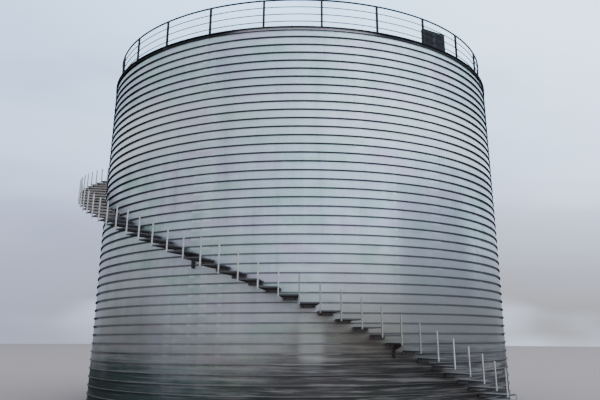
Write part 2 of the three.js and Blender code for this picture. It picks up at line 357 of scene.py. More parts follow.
def piece(name, shape, material, replaced=(), sharp_degrees=32):
    """A shape as an object that rides on the silo and may stand for nodes of the frame.

    Its faces are smooth, and the edges that turn more than an angle are sharp.
    """
    mesh = shape if isinstance(shape, bpy.types.Mesh) else mesh_from(name, shape)
    mesh.polygons.foreach_set("use_smooth", np.ones(len(mesh.polygons), bool))
    mesh.set_sharp_from_angle(angle=math.radians(sharp_degrees))
    mesh.materials.append(material)
    thing = in_scene(name, mesh)
    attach(thing, "root")
    if replaced:
        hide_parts(*replaced)
    return thing


def bevel(thing, width):
    """Small rounded edges on flat plates and bars."""
    modifier = thing.modifiers.new("edges", "BEVEL")
    modifier.width = width
    modifier.segments = 1
    modifier.limit_method = "ANGLE"
    modifier.angle_limit = math.radians(40)
    modifier.use_clamp_overlap = True
    return thing


def nodes_named(start):
    """The frame's nodes whose names begin so, in alphabetical order."""
    return sorted(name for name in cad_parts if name.startswith(start))


# Materials

def linear(colour):
    """An sRGB hex colour as linear red, green, blue and alpha."""
    parts = [int(colour[i:i + 2], 16) / 255 for i in (1, 3, 5)]
    return [c / 12.92 if c <= 0.04045 else ((c + 0.055) / 1.055) ** 2.4 for c in parts] + [1.0]


def node(tree, kind, inputs=(), stops=(), **settings):
    """Adds a node with its settings and links.

    Inputs are listed in the node's own order, or given by name. An input is a value, a hex colour, an
    output, or a node, of which the first output in use is read. Stops are the places and hex colours of a
    ramp.
    """
    added = tree.nodes.new("ShaderNode" + kind)
    for name, value in settings.items():
        setattr(added, name, value)
    for name, value in inputs.items() if isinstance(inputs, dict) else enumerate(inputs):
        if isinstance(value, bpy.types.Node):
            value = next(output for output in value.outputs if output.enabled)
        if isinstance(value, bpy.types.NodeSocket):
            tree.links.new(value, added.inputs[name])
        else:
            added.inputs[name].default_value = linear(value) if isinstance(value, str) else value
    while len(stops) > 2 and len(added.color_ramp.elements) < len(stops):
        added.color_ramp.elements.new(0.5)
    for i, (spot, colour) in enumerate(stops):
        added.color_ramp.elements[i].position = spot
        added.color_ramp.elements[i].color = linear(colour)
    return added


def new_material(name):
    """A material with an empty node tree."""
    material = bpy.data.materials.new(name)
    material.use_nodes = True
    material.node_tree.nodes.clear()
    return material, material.node_tree


def finished(material, colour, roughness, metallic=0.0, specular=0.5, normal=None):
    """The material with its shader and its output."""
    inputs = {"Base Color": colour, "Roughness": roughness, "Metallic": metallic,
              "Specular IOR Level": specular}
    if normal is not None:
        inputs["Normal"] = normal
    shader = node(material.node_tree, "BsdfPrincipled", inputs)
    node(material.node_tree, "OutputMaterial", {"Surface": shader})
    return material


def patterns(tree, vector, table):
    """Cloud-like patterns by name, each from its cycles per unit of the vector, detail and roughness."""
    made = {}
    for name, (cycles, detail, roughness) in table.items():
        scaled = node(tree, "VectorMath", [vector, cycles], operation="MULTIPLY")
        made[name] = node(tree, "TexNoise", {"Vector": scaled, "Scale": 1.0, "Detail": detail,
                                             "Roughness": roughness})
    return made


def coats(tree, tone, table):
    """Coats of colour over a tone, each growing to its amount as its value passes from low to high."""
    for value, low, high, amount, colour in table:
        share = node(tree, "MapRange", [value, low, high, 0.0, amount], interpolation_type="SMOOTHSTEP")
        tone = node(tree, "Mix", {0: share, 6: tone, 7: colour}, data_type="RGBA")
    return tone


def side_of_wall(tree, place_now, azimuth, low, high):
    """How far a point lies on one side: its outward direction times the side's own, from low to high."""
    turn = math.radians(azimuth)
    facing = node(tree, "VectorMath", [place_now, (math.sin(turn), -math.cos(turn), 0)],
                  operation="DOT_PRODUCT")
    return node(tree, "MapRange", [facing, low * WALL_RADIUS, high * WALL_RADIUS],
                interpolation_type="SMOOTHSTEP")


def zone(tree, value, low, high, side, most=1.0):
    """Where a value has passed from low to high on a side of the wall: the product of both shares."""
    passed = node(tree, "MapRange", [value, low, high, 0.0, most], interpolation_type="SMOOTHSTEP")
    return node(tree, "Math", [passed, side], operation="MULTIPLY")


def filmed(tree, tone, place_now, film):
    """The tone under a film on one side, if there is one.

    A film is a side's azimuth, its low and high share of the radius, an amount and a colour.
    """
    if film is None:
        return tone
    azimuth, low, high, amount, colour = film
    return coats(tree, tone, [(side_of_wall(tree, place_now, azimuth, low, high), 0.0, 1.0, amount, colour)])


def upwardness(tree):
    """How far a face looks up: the height of its outward direction, from -1 to 1."""
    return node(tree, "SeparateXYZ", [node(tree, "NewGeometry").outputs["Normal"]]).outputs["Z"]


# Material of the spiral strip

def strip_readings(tree):
    """What the strip's coats share: places, sides, and patterns along the strip and down the wall.

    The map's first value runs along the strip and the second across it, both in metres. Across, the flat
    sheet ends at 0.345, then come the seam's underside and lip up to 0.44 and its top up to 0.495.
    """
    coordinates = node(tree, "TexCoord")
    strip = coordinates.outputs["UV"]
    place_now = coordinates.outputs["Object"]
    # Along the strip the zinc changes tone over 25 m and tint over 2 to 4 m, and roll marks are 4 to 15 mm
    # apart; oil canning is the slight swelling of the flat sheet, about 1 m long
    coil = patterns(tree, strip, {
        "tone": ((0.04, 0.0, 0.0), 2.0, 0.5),
        "tint": ((0.30, 0.4, 0.0), 3.0, 0.6),
        "marks": ((0.35, 90.0, 0.0), 4.0, 0.7),
        "canning": ((0.9, 3.5, 0.0), 2.0, 0.5),
        "streaks": ((0.5, 34.0, 0.0), 3.0, 0.55),
    })
    # Down the wall rain runs are 0.3 to 0.6 m apart and metres long, and weathering tints patches 2 m wide
    wall = patterns(tree, place_now, {
        "runs": ((1.6, 1.6, 0.10), 5.0, 0.62),
        "patches": ((0.42, 0.42, 0.9), 3.0, 0.55),
        "edge": ((0.28, 0.28, 0.9), 5.0, 0.62),
        "foot_mottle": ((0.16, 0.16, 0.1), 2.0, 0.5),
        "smears": ((0.30, 0.30, 8.0), 5.0, 0.65),
        "glints": ((1.3, 1.3, 0.03), 2.0, 0.5),
    })
    front = side_of_wall(tree, place_now, 0, 0.50, 0.96)
    away = node(tree, "Math", [1.0, front], operation="SUBTRACT")
    across = node(tree, "SeparateXYZ", [strip]).outputs["Y"]
    height = node(tree, "SeparateXYZ", [place_now]).outputs["Z"]
    return SimpleNamespace(strip=strip, place=place_now, across=across, height=height, coil=coil, wall=wall,
                           front=front, away=away)


def bare_zinc(tree, sheet):
    """The coil's tones and tints, rain runs, roll marks, spangle, and painted highlights just under the
    seams.
    """
    # Real spangle is 5 to 15 mm across: it is drawn at 35 mm, the size of a pixel from the ground
    grains = node(tree, "VectorMath", [sheet.strip, (28.0, 28.0, 1.0)], operation="MULTIPLY")
    spangle = node(tree, "TexVoronoi", {"Vector": grains, "Scale": 1.0}).outputs["Color"]
    # One coil, 9.5 to 14 m up, is brighter than the rest, and more so away from the front
    off_coil = node(tree, "Math", [sheet.height, 11.7], operation="SUBTRACT")
    off_coil = node(tree, "Math", [off_coil], operation="ABSOLUTE")
    newer = zone(tree, off_coil, 2.2, 0.6, node(tree, "MapRange", [sheet.away, 0.0, 1.0, 0.35, 1.0]))
    # Painted highlights: just under a seam the sheet is lighter in short strokes, one above the other
    glints = node(tree, "MapRange", [sheet.wall["glints"], 0.61, 0.68], interpolation_type="SMOOTHSTEP")
    highlight_dashes = zone(tree, sheet.across, 0.18, 0.26, glints)
    tone = node(tree, "ValToRGB", [sheet.coil["tone"]],
                [(0.30, "#b7c3cd"), (0.50, "#c6d0d8"), (0.70, "#d3dbe2")])
    return coats(tree, tone, [
        (sheet.coil["tint"], 0.50, 0.64, 0.70, "#c8b7cd"),
        (sheet.coil["tint"], 0.48, 0.36, 0.70, "#a0bfb4"),
        (sheet.wall["patches"], 0.52, 0.64, 0.45, "#c2aecb"),
        (sheet.wall["patches"], 0.48, 0.36, 0.45, "#9fc4b4"),
        (sheet.wall["runs"], 0.48, 0.72, 0.35, "#e4e8ea"),
        (sheet.wall["runs"], 0.50, 0.30, 0.35, "#8f999e"),
        (sheet.coil["marks"], 0.35, 0.75, 0.35, "#858f94"),
        (spangle, 0.2, 1.0, 0.16, "#f0f3f4"),
        (newer, 0.0, 1.0, 0.75, "#eef0ee"),
        (highlight_dashes, 0.0, 1.0, 0.45, "#f2f7fc"),
    ])


def painted_side_shade(tree, sheet, tone):
    """Painted shade on a narrow upright stretch and a broader side, deepening towards the ground."""
    shade_band = side_of_wall(tree, sheet.place, 34, 0.960, 0.999)
    shaded_side = side_of_wall(tree, sheet.place, 50, 0.70, 0.97)
    return coats(tree, tone, [
        (zone(tree, sheet.height, 12.0, 6.5, shade_band), 0.0, 1.0, 0.58, "#5f5965"),
        (zone(tree, sheet.height, 8.5, 2.5, shaded_side), 0.0, 1.0, 0.78, "#434249"),
    ])


# Stretches where the darker foot, damp dirt and a painted reflection of the dark ground, starts lower:
# azimuth, low and high share, lift
LIGHTER_FOOT_STRETCHES = ((-19, 0.94, 0.995, 0.65), (36, 0.84, 0.97, 0.12), (-48, 0.70, 0.97, 0.45))


def dark_foot_level(tree, sheet):
    """Height that sets the darker foot, damp dirt and a painted reflection of the dark ground: uneven round
    the wall, and raised on some stretches.
    """
    wander = node(tree, "Math", [sheet.wall["edge"], 2.6], operation="MULTIPLY")
    level = node(tree, "Math", [sheet.height, wander], operation="SUBTRACT")
    for azimuth, low, high, lift in LIGHTER_FOOT_STRETCHES:
        lighter_stretch = side_of_wall(tree, sheet.place, azimuth, low, high)
        level = node(tree, "Math", [lighter_stretch, lift, level], operation="MULTIPLY_ADD")
    return level


def foot_dirt_and_reflection(tree, sheet, level, tone):
    """Darker towards the ground: dust and painted shade from 9.5 m down, then splash dirt, smears and a
    painted reflection of the dark ground and greenery on the lowest 3 m, uneven round the wall.
    """
    # The lowest 3 m: damp dirt, streaks and smears, and a painted reflection of the dark ground, greenish on
    # one side
    damp_and_reflection_colour = node(tree, "ValToRGB", [sheet.wall["foot_mottle"]],
                       [(0.40, "#222a24"), (0.50, "#343131"), (0.60, "#403b3c")])
    green_reflection_side = side_of_wall(tree, sheet.place, -48, 0.70, 0.97)
    damp_and_reflection_colour = coats(tree, damp_and_reflection_colour, [
        (sheet.coil["streaks"], 0.45, 0.75, 0.45, "#716e6c"),
        (sheet.wall["smears"], 0.48, 0.68, 0.66, "#9c938d"),
        (green_reflection_side, 0.0, 1.0, 0.62, "#263a36"),
    ])
    smeared = node(tree, "Math", [sheet.wall["smears"], 1.6, level], operation="MULTIPLY_ADD")
    # The dust and painted shade are brown at the front and greyer round both sides, and thinner on one
    # stretch
    brown = side_of_wall(tree, sheet.place, 0, 0.87, 0.99)
    dust_and_shade_colour = coats(tree, "#878683", [(brown, 0.0, 1.0, 1.0, "#918879")])
    splash_and_reflection_colour = coats(tree, "#6c6965", [(brown, 0.0, 1.0, 1.0, "#776b5d")])
    thin_stretch = side_of_wall(tree, sheet.place, -15, 0.90, 0.99)
    dust = zone(tree, sheet.height, 9.5, 3.0, node(tree, "MapRange", [thin_stretch, 0.0, 1.0, 1.0, 0.70]), 0.64)
    # Away from the front the foot of the wall is darker: damp and a painted reflection of the dark ground
    foot = zone(tree, sheet.height, 2.0, 0.8, sheet.away)
    # Painted reflection: a bright column at the front, most of all 2.7 m up
    drip = zone(tree, sheet.height, 1.2, 2.6, side_of_wall(tree, sheet.place, 2.6, 0.9980, 1.0))
    drip = zone(tree, sheet.height, 5.5, 2.8, drip)
    return coats(tree, tone, [
        (dust, 0.0, 1.0, 1.0, dust_and_shade_colour),
        (level, 3.8, 1.4, 0.60, splash_and_reflection_colour),
        (smeared, 2.9, 1.0, 0.92, damp_and_reflection_colour),
        (foot, 0.0, 1.0, 0.50, "#171814"),
        (drip, 0.0, 1.0, 0.30, "#cfccc4"),
    ])


def seam_soot_and_shade(tree, sheet, dark_foot, tone):
    """Painted shade under each seam, with soot: on the sheet below it, and on the seam's underside and lip.

    Both are full above 10.5 m and fade towards the ground, where a painted highlight makes the seam's top
    bright. Round the sides, past 53 to 71 degrees from the front, they stay black down to 2 m. Gives the
    tone, and where the zinc is covered.
    """
    seam_shade_share = node(tree, "MapRange", [sheet.height, -2.0, 10.5])
    far = zone(tree, sheet.height, 1.2, 3.2, side_of_wall(tree, sheet.place, 0, 0.60, 0.32))
    seam_shade_share = node(tree, "Math", [seam_shade_share, far], operation="MAXIMUM")
    low_edge = node(tree, "Math", [sheet.across, 0.344], operation="GREATER_THAN")
    high_edge = node(tree, "Math", [sheet.across, 0.447], operation="LESS_THAN")
    seam = node(tree, "Math", [low_edge, high_edge], operation="MULTIPLY")
    underside_soot_and_shade = node(tree, "Math", [seam, seam_shade_share], operation="MULTIPLY")
    # The painted shade under a seam is 40 mm wide at the front, 15 mm wider near the top and 55 mm wider
    # away from the front
    high = node(tree, "MapRange", [sheet.height, 9.0, 15.0, 0.0, 0.015])
    spread = node(tree, "Math", [high, sheet.across], operation="ADD")
    spread = node(tree, "Math", [sheet.away, 0.055, spread], operation="MULTIPLY_ADD")
    under_seam_shade = zone(tree, spread, 0.296, 0.318, seam_shade_share)
    kept = node(tree, "MapRange", [sheet.front, 0.0, 1.0, 1.0, 0.50])
    under_seam_shade = node(tree, "Math", [under_seam_shade, kept], operation="MULTIPLY")
    # At the front the lip's painted shade is lighter
    lip = node(tree, "Math", [sheet.across, 0.408], operation="GREATER_THAN")
    lighter_front_lip = node(tree, "Math", [lip, sheet.front], operation="MULTIPLY")
    # Painted highlight: in the darker foot the seam's top is lighter
    lip_top = node(tree, "Math", [sheet.across, 0.436], operation="GREATER_THAN")
    bare = node(tree, "Math", [lip_top, dark_foot], operation="MULTIPLY")
    seam_shade_colour = coats(tree, "#100f0f", [(lighter_front_lip, 0.0, 1.0, 0.50, "#4a474a")])
    # Painted shade under the edge channel: the uppermost 70 mm of bare sheet is darkened, away from the front
    eaves_shade = zone(tree, sheet.height, EAVES_BOTTOM - 0.090, EAVES_BOTTOM - 0.060, sheet.away)
    tone = coats(tree, tone, [
        (under_seam_shade, 0.0, 1.0, 0.92, "#1d1c1d"),
        (underside_soot_and_shade, 0.0, 1.0, 0.98, seam_shade_colour),
        (bare, 0.0, 1.0, 0.40, "#98928b"),
        (eaves_shade, 0.0, 1.0, 0.92, "#1d1c1d"),
    ])
    covered = node(tree, "Math", [underside_soot_and_shade, under_seam_shade], operation="MAXIMUM")
    return tone, node(tree, "Math", [covered, eaves_shade], operation="MAXIMUM")


def galvanised_strip():
    """Hot-dip galvanised steel coil, cold rolled: satin, blue-grey, with roll marks along the strip."""
    material, tree = new_material("galvanised_strip")
    sheet = strip_readings(tree)
    level = dark_foot_level(tree, sheet)
    # The darker foot: damp dirt and a painted reflection of the dark ground, which also dulls the zinc
    dark_foot = node(tree, "MapRange", [level, 2.6, 0.2], interpolation_type="SMOOTHSTEP")
    tone = painted_side_shade(tree, sheet, bare_zinc(tree, sheet))
    tone = foot_dirt_and_reflection(tree, sheet, level, tone)
    tone, covered = seam_soot_and_shade(tree, sheet, dark_foot, tone)
    dull = node(tree, "Math", [dark_foot, covered], operation="MAXIMUM")
    rough = node(tree, "MapRange", [dull, 0.0, 1.0, 0.40, 0.62])
    metal = node(tree, "MapRange", [dull, 0.0, 1.0, 0.88, 0.0])
    normal = node(tree, "Bump", {"Height": sheet.coil["canning"], "Distance": 0.004, "Strength": 0.6})
    normal = node(tree, "Bump", {"Height": sheet.coil["marks"], "Distance": 0.0004, "Strength": 0.5,
                                 "Normal": normal})
    return finished(material, tone, rough, metal, 0.03, normal)


# Materials of the other pieces

def galvanised_plate(name, light, dark, clouds, film=None):
    """Hot-dip galvanised plate: dull grey zinc with so many clouds a metre and small dark stains."""
    material, tree = new_material(name)
    place_now = node(tree, "TexCoord").outputs["Object"]
    zinc = patterns(tree, place_now, {
        "clouds": ((clouds, clouds, clouds), 5.0, 0.6),
        "fine": ((14.0, 14.0, 14.0), 4.0, 0.55),
    })
    # Real spangle is 5 to 15 mm across: it is drawn at 20 mm
    spangle = node(tree, "TexVoronoi", {"Vector": place_now, "Scale": 50.0}).outputs["Color"]
    tone = node(tree, "ValToRGB", [zinc["clouds"]], [(0.35, dark), (0.65, light)])
    tone = coats(tree, tone, [
        (spangle, 0.0, 1.0, 0.12, "#d9dedf"),
        (zinc["fine"], 0.58, 0.75, 0.30, "#6d7274"),
    ])
    tone = filmed(tree, tone, place_now, film)
    rough = node(tree, "MapRange", [zinc["fine"], 0.3, 0.7, 0.42, 0.58])
    normal = node(tree, "Bump", {"Height": zinc["fine"], "Distance": 0.0006})
    return finished(material, tone, rough, 0.65, normal=normal)


def painted_steel(name, colour, worn, dust, roughness=0.5, film=None):
    """Steel under weathered alkyd paint: matt, dusty on its faces, with small chips down to the primer."""
    material, tree = new_material(name)
    place_now = node(tree, "TexCoord").outputs["Object"]
    # Dust lies in patches about 0.3 m wide, chips are 5 to 10 mm and brush marks 3 mm
    paint = patterns(tree, place_now, {
        "patches": ((3.0, 3.0, 5.0), 5.0, 0.6),
        "chips": ((60.0, 60.0, 60.0), 3.0, 0.7),
        "marks": ((40.0, 40.0, 320.0), 2.0, 0.5),
    })
    tone = coats(tree, colour, [
        (paint["patches"], 0.42, 0.75, 0.45, dust),
        (paint["chips"], 0.66, 0.70, 0.85, worn),
    ])
    tone = filmed(tree, tone, place_now, film)
    rough = node(tree, "MapRange", [paint["patches"], 0.3, 0.7, roughness - 0.06, roughness + 0.14])
    normal = node(tree, "Bump", {"Height": paint["marks"], "Distance": 0.0003, "Strength": 0.6})
    normal = node(tree, "Bump", {"Height": paint["chips"], "Distance": 0.0004, "Strength": 0.5,
                                 "Normal": normal})
    return finished(material, tone, rough, 0.0, 0.12, normal)


def channel_zinc():
    """Galvanised edge channel, darkened by painted shade and soot, with a painted reflection on the web's
    front.

    The painted reflection is centred on azimuth 1, and faces that look down get a deeper painted shade.
    """
    material, tree = new_material("channel_zinc")
    place_now = node(tree, "TexCoord").outputs["Object"]
    film = patterns(tree, place_now, {
        "clouds": ((1.2, 1.2, 6.0), 5.0, 0.6),
        "fine": ((18.0, 18.0, 18.0), 4.0, 0.6),
    })
    # Painted shade all round, a painted reflection on the front of the web, deeper painted shade on faces
    # that look down
    tone = coats(tree, "#1c1d1f", [
        (film["clouds"], 0.35, 0.70, 0.30, "#34353a"),
        (side_of_wall(tree, place_now, 1, 0.93, 0.99), 0.0, 1.0, 0.95, "#b3aaae"),
        (film["fine"], 0.55, 0.75, 0.30, "#77706b"),
        (upwardness(tree), -0.2, -0.7, 0.95, "#121315"),
    ])
    rough = node(tree, "MapRange", [film["clouds"], 0.0, 1.0, 0.42, 0.62])
    normal = node(tree, "Bump", {"Height": film["fine"], "Distance": 0.0005})
    return finished(material, tone, rough, 0.45, normal=normal)


def chequer_steel():
    """Painted chequer plate: raised lozenges, 40 mm apart, with trodden dirt on the dark paint.

    The sides are a darker grey for painted shade, near black on the upper flights, whose undersides are
    painted pale as painted light.
    """
    material, tree = new_material("chequer_steel")
    coordinates = node(tree, "TexCoord")
    turned = node(tree, "VectorRotate", {"Vector": coordinates.outputs["UV"], "Angle": math.pi / 4})
    spots = node(tree, "TexVoronoi", {"Vector": turned, "Scale": 25.0, "Randomness": 0.0},
                 distance="MANHATTAN")
    dirt = patterns(tree, coordinates.outputs["Object"], {"dirt": ((4.0, 4.0, 4.0), 5.0, 0.65)})["dirt"]
    tilt = upwardness(tree)
    above = node(tree, "MapRange", [tilt, 0.2, 0.8], interpolation_type="SMOOTHSTEP")
    shaded_sides = node(tree, "MapRange", [tilt, 0.5, 0.2])
    below = node(tree, "MapRange", [tilt, -0.5, -0.8])
    raised = zone(tree, spots, 0.42, 0.30, above)
    trodden = node(tree, "Math", [above, dirt], operation="MULTIPLY")
    # Painted shade darkens the sides on the upper flights, and painted light makes their undersides pale
    upper = side_of_wall(tree, coordinates.outputs["Object"], -100, 0.60, 0.78)
    painted_light_undersides = node(tree, "Math", [upper, below], operation="MULTIPLY")
    side_shade_colour = coats(tree, "#4e4d50", [(upper, 0.0, 1.0, 1.0, "#19191b")])
    tone = coats(tree, "#5a5857", [
        (dirt, 0.35, 0.75, 0.60, "#6b6863"),
        (trodden, 0.25, 0.60, 0.80, "#777370"),
        (raised, 0.0, 1.0, 0.45, "#918e8b"),
        (shaded_sides, 0.0, 1.0, 0.92, side_shade_colour),
        (painted_light_undersides, 0.0, 1.0, 0.97, "#f6f5f2"),
    ])
    rough = node(tree, "MapRange", [dirt, 0.3, 0.7, 0.54, 0.74])
    normal = node(tree, "Bump", {"Height": raised, "Distance": 0.0015})
    return finished(material, tone, rough, 0.05, 0.12, normal)


def zinc_bolt():
    """Zinc-plated bolts: bright grey with a dull, slightly rusty bloom."""
    material, tree = new_material("zinc_bolt")
    place_now = node(tree, "TexCoord").outputs["Object"]
    bloom = patterns(tree, place_now, {"bloom": ((25.0, 25.0, 25.0), 3.0, 0.55)})["bloom"]
    tone = node(tree, "ValToRGB", [bloom], [(0.40, "#9da2a3"), (0.62, "#7d7a75"), (0.75, "#6a5747")])
    rough = node(tree, "MapRange", [bloom, 0.3, 0.7, 0.35, 0.60])
    normal = node(tree, "Bump", {"Height": bloom, "Distance": 0.0004})
    return finished(material, tone, rough, 0.8, normal=normal)


def roof_zinc():
    """Galvanised roof sheet: satin zinc, chalky with dust that rain has drawn down the slope.

    The runs' pattern is read at (16 x the azimuth in radians, 0.35 x the distance from the axis), so that it
    spreads like the slope: about 0.6 m apart at the edge.
    """
    material, tree = new_material("roof_zinc")
    place_now = node(tree, "TexCoord").outputs["Object"]
    parts = node(tree, "SeparateXYZ", [place_now])
    turn = node(tree, "Math", [parts.outputs["X"], parts.outputs["Y"]], operation="ARCTAN2")
    flat = node(tree, "CombineXYZ", [parts.outputs["X"], parts.outputs["Y"]])
    reach = node(tree, "VectorMath", [flat], operation="LENGTH")
    slope = node(tree, "CombineXYZ", [turn, reach])
    runs = patterns(tree, slope, {"runs": ((16.0, 0.35, 0.0), 5.0, 0.6)})["runs"]
    dust = patterns(tree, place_now, {
        "patches": ((0.5, 0.5, 0.5), 5.0, 0.55),
        "fine": ((30.0, 30.0, 30.0), 3.0, 0.55),
    })
    tone = node(tree, "ValToRGB", [dust["patches"]], [(0.35, "#919596"), (0.65, "#aeb1b1")])
    tone = coats(tree, tone, [
        (runs, 0.45, 0.72, 0.50, "#74716d"),
        (dust["fine"], 0.55, 0.75, 0.25, "#c3c8c8"),
    ])
    rough = node(tree, "MapRange", [runs, 0.3, 0.7, 0.42, 0.62])
    normal = node(tree, "Bump", {"Height": dust["patches"], "Distance": 0.003, "Strength": 0.5})
    return finished(material, tone, rough, 0.75, normal=normal)


def pale_floor():
    """Matt pale floor: a warm grey, which the blue of the sky makes neutral."""
    return finished(new_material("studio_floor")[0], "#9d8a81", 0.9)


# A dust film on the posts at the front, and painted shade on the aprons at the front
POST_FILM = (12, 1.094, 1.106, 0.95, "#8d8783")
APRON_SHADE = (10, 0.28, 0.56, 0.95, "#5d5a59")

STRIP = galvanised_strip()
ROOF_ZINC = roof_zinc()
POST_ZINC = galvanised_plate("galvanised_posts", "#cac5c0", "#aaa6a2", 1.6, POST_FILM)
FLOOR_ZINC = galvanised_plate("galvanised_floor", "#a3a9ab", "#7e8587", 0.6)
CHANNEL_ZINC = channel_zinc()
EDGE_PAINT = painted_steel("edge_paint", "#141210", "#6b6259", "#2c2a27")
RAIL_PAINT = painted_steel("rail_paint", "#262321", "#777a7c", "#403b37")
ARM_PAINT = painted_steel("stair_paint", "#464341", "#665c53", "#5d5954")
# Pale paint on the aprons is painted light: the light seen between the treads of the far flights
APRON_PAINT_AND_LIGHT = painted_steel("apron_paint_and_light", "#efeeeb", "#a5a3a1", "#d6d4d2", film=APRON_SHADE)
CABINET_PAINT = painted_steel("cabinet_paint", "#35353b", "#6a6f75", "#4a4a51", 0.42)
TREAD_STEEL = chequer_steel()
BOLT_ZINC = zinc_bolt()


# Wall

def seam_profile():
    """The strip's section as rows of (out, up, across).

    The flat sheet rises from the last seam, the seam stands out with a lip hanging from its edge, and its
    top falls away from the wall. Across is the length along the strip's own width, for the material's map.
    """
    under = -SEAM_HEIGHT * 0.55
    return np.array([
        (0.0, SEAM_SPLAY - SEAM_PITCH, 0.0),
        (0.0, -SEAM_PITCH / 2, 0.175),
        (0.0, under, 0.345),
        (SEAM_DEPTH * 0.72, under + 0.002, 0.380),
        (SEAM_DEPTH * 0.72, -SEAM_HEIGHT, 0.397),
        (SEAM_DEPTH * 0.95, -SEAM_HEIGHT, 0.410),
        (SEAM_DEPTH, -0.005, 0.440),
        (SEAM_DEPTH * 0.93, 0.0, 0.446),
        (0.0, SEAM_SPLAY, 0.495),
    ])


def strip_wall():
    """One spiral strip, closed to a shell by a plain inner face.

    Turn t, azimuth a and section row (out, up) give radius WALL_RADIUS + out and height
    SEAM_START + SEAM_PITCH (t + a / 360) + up. Heights stop at the ground and at the wall's top, the seam
    lies flat behind the foot angle and the edge channel, and the column at a = 360 falls on the next
    turn's first column, so that merging equal points closes the spiral.
    """
    out, up, across = seam_profile().T
    first_turn = -math.ceil(SEAM_START / SEAM_PITCH) - 1
    turns = np.arange(first_turn, 4)[:, None, None]
    share = np.linspace(0, 1, WALL_COLUMNS + 1)[None, None, :]
    height = SEAM_START + SEAM_PITCH * (turns + share) + up[None, :, None]
    margin = 0.012
    bare = (height > FOOT_HEIGHT + margin) & (height < EAVES_BOTTOM - margin)
    radius = WALL_RADIUS + out[None, :, None] * bare
    height = np.clip(height, 0, WALL_TOP)
    outer = polar(360 * share, radius, height).reshape(-1, WALL_COLUMNS + 1, 3)
    inner = np.stack([polar(360 * share[0, 0], WALL_RADIUS - SHEET, level) for level in (WALL_TOP, 0.0)])
    points = np.concatenate([outer, inner])
    length = FULL_TURN * WALL_RADIUS
    along = np.broadcast_to((turns + share) * length, height.shape).reshape(-1, WALL_COLUMNS + 1)
    along = np.concatenate([along, np.repeat(share[0] * length, 2, 0)])
    width = np.broadcast_to(across[None, :, None], height.shape).reshape(-1, WALL_COLUMNS + 1)
    width = np.concatenate([width, np.full((2, WALL_COLUMNS + 1), 0.1)])
    return points, np.stack([along, width], -1)


def welded_wall():
    """The strip's grid as a mesh, with its map stored on the corners before equal points are merged."""
    points, strip_map = strip_wall()
    rows, columns = points.shape[:2]
    row = np.arange(rows)[:, None]
    here = row * columns + np.arange(columns - 1)
    onward = (row + 1) % rows * columns + np.arange(columns - 1)
    quads = np.stack([here, here + 1, onward + 1, onward], -1).reshape(-1, 4)
    if volume(points.reshape(-1, 3), [quads]) < 0:
        quads = quads[:, ::-1]
    mesh = mesh_from("wall_strip", (points.reshape(-1, 3), [quads]))
    layer = mesh.uv_layers.new(name="strip")
    layer.data.foreach_set("uv", strip_map.reshape(-1, 2)[quads.ravel()].astype(np.float32).ravel())
    work = bmesh.new()
    work.from_mesh(mesh)
    bmesh.ops.remove_doubles(work, verts=work.verts, dist=1e-5)
    bmesh.ops.dissolve_degenerate(work, edges=work.edges, dist=1e-6)
    work.to_mesh(mesh)
    work.free()
    return mesh


piece("wall_strip", welded_wall(), STRIP, nodes_named("wall_"), 25)
floor_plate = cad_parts["floor_plate"]
floor_plate.data.materials.clear()
floor_plate.data.materials.append(FLOOR_ZINC)


# Foot angle with its gussets and anchors

def foot_angle():
    """An angle section turned about the axis: a flange on the ground and a leg against the wall."""
    fillet = 0.008
    angle = ring([
        (FOOT_FACE, 0), (FOOT_RADIUS, 0), (FOOT_RADIUS, FOOT_THICKNESS), (FOOT_WEB + fillet, FOOT_THICKNESS),
        (FOOT_WEB, FOOT_THICKNESS + fillet), (FOOT_WEB, FOOT_HEIGHT), (FOOT_FACE, FOOT_HEIGHT),
    ])
    reach, height, tip = 0.085, 0.075, 0.012
    outline = [(0, 0), (reach, 0), (reach, tip), (tip, height), (0, height)]
    gusset = outline_along(outline, (-0.004, 0.004), 0)
    azimuth = (np.arange(ANCHOR_COUNT) + 0.5) * 360 / ANCHOR_COUNT
    return together(angle, set_round(gusset, azimuth, FOOT_WEB, FOOT_THICKNESS))


def anchors():
    """A nut and washer on each anchor, with the bolt's end standing above the nut."""
    azimuth = np.arange(ANCHOR_COUNT) * 360 / ANCHOR_COUNT
    radius = (WALL_RADIUS + FOOT_THICKNESS + FOOT_RADIUS) / 2
    nuts = set_round(bolt(0.024, 2), azimuth, radius, FOOT_THICKNESS)
    end = outline_along(circle(0.011, 12), (0.015, 0.036), 2)
    return together(nuts, set_round(end, azimuth, radius, FOOT_THICKNESS))


bevel(piece("foot_ring", foot_angle(), EDGE_PAINT, nodes_named("foot_angle")), 0.002)
piece("foot_anchors", anchors(), BOLT_ZINC)


# Edge channel with its splices

def eaves_channel():
    """A channel section turned about the axis, open outwards, with rounded inner corners."""
    face = WALL_RADIUS + TOUCH_GAP
    web = EAVES_WEB + TOUCH_GAP
    low = EAVES_BOTTOM + EAVES_THICKNESS
    high = EAVES_TOP - EAVES_THICKNESS
    fillet = 0.006
    return ring([
        (face, EAVES_BOTTOM), (EAVES_RADIUS, EAVES_BOTTOM), (EAVES_RADIUS, low), (web + fillet, low),
        (web, low + fillet), (web, high - fillet), (web + fillet, high), (EAVES_RADIUS, high),
        (EAVES_RADIUS, EAVES_TOP), (face, EAVES_TOP),
    ])


def splice_plates():
    """Plates that join the channel's lengths, bent to the wall's curve by stations across their width."""
    azimuth = SPLICE_AZIMUTHS[:, None] + np.linspace(-SPLICE_HALF_ANGLE, SPLICE_HALF_ANGLE, 7)
    middle = (SPLICE_FACE - SPLICE_THICKNESS / 2, EAVES_MIDDLE)
    profile = rectangle(SPLICE_THICKNESS, SPLICE_HEIGHT, middle)
    return loft(polar(azimuth[:, :, None], *profile.T))


